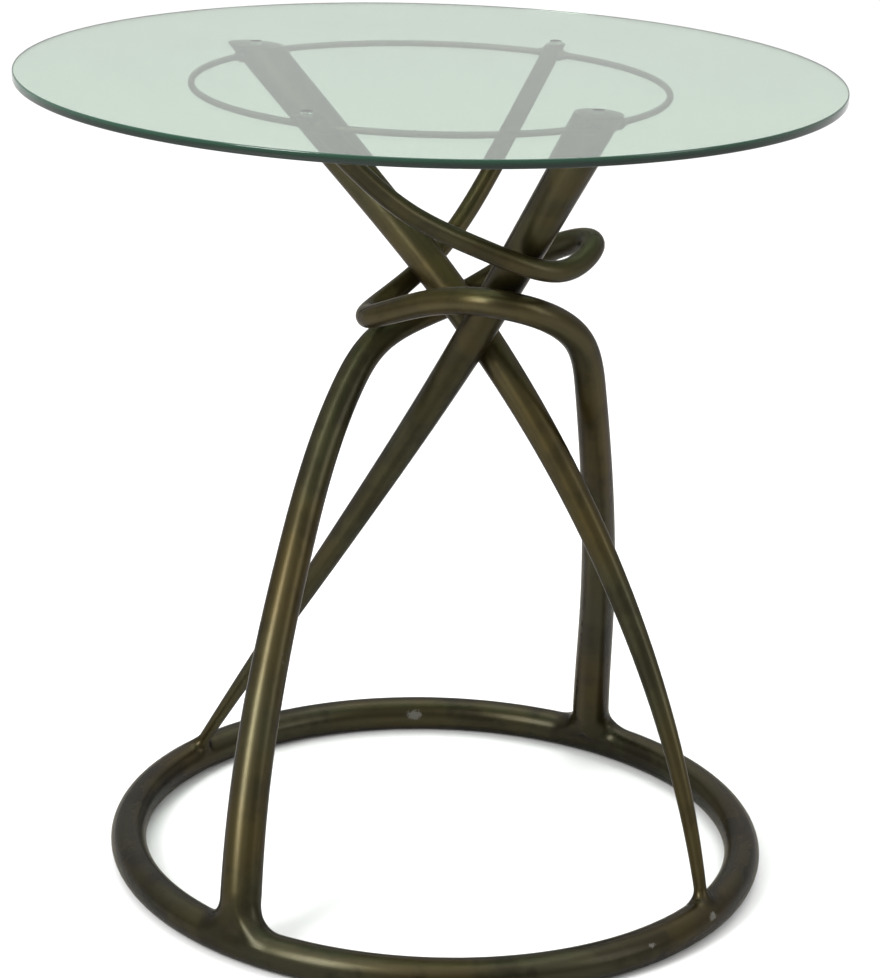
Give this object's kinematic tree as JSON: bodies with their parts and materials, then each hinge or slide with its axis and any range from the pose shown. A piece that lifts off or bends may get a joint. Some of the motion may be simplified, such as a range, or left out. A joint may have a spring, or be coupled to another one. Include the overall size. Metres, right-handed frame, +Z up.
{
  "type": "round glass dining table with a knotted metal base",
  "caption": "Round dining table: a loose pale green glass disc on a base of tapered bronze-coloured rods that loop round each other in a knot and stand on a tube ring.",
  "frame": {"origin": "on the floor, under the middle of the glass", "axes": "+Z up, +X to the right in the picture, +Y away from the front"},
  "size_m": [0.7499, 0.75, 0.77],
  "materials": {
    "glass": "polished float glass with a pale green tint and a dark green rim",
    "bronze_metal": "dark olive-brown bronze, satin, with rubbed lighter streaks",
    "clear_bumper": "clear soft plastic"
  },
  "bodies": {
    "base": {"floor_ring": "bronze_metal", "straight_leg_front_right": "bronze_metal", "straight_leg_rear_left": "bronze_metal", "knotted_leg_rear_right": "bronze_metal", "knotted_leg_front_left": "bronze_metal", "top_rail_rear": "bronze_metal", "top_rail_left": "bronze_metal", "top_rail_front": "bronze_metal", "top_rail_right": "bronze_metal", "knot_weld_crossing": "bronze_metal", "knot_weld_upper_rear": "bronze_metal", "knot_weld_lower_rear": "bronze_metal", "knot_weld_lower_front": "bronze_metal", "knot_weld_upper_front": "bronze_metal", "glass_bumper_rear_right": "clear_bumper", "glass_bumper_rear_left": "clear_bumper", "glass_bumper_front_left": "clear_bumper", "glass_bumper_front_right": "clear_bumper"},
    "glass": {"glass_top": "glass"}
  },
  "joints": [
    {"name": "glass_lift", "type": "slide", "parent": "base", "child": "glass", "axis": [0, 0, 1], "range_m": [0, 0.3]}
  ]
}
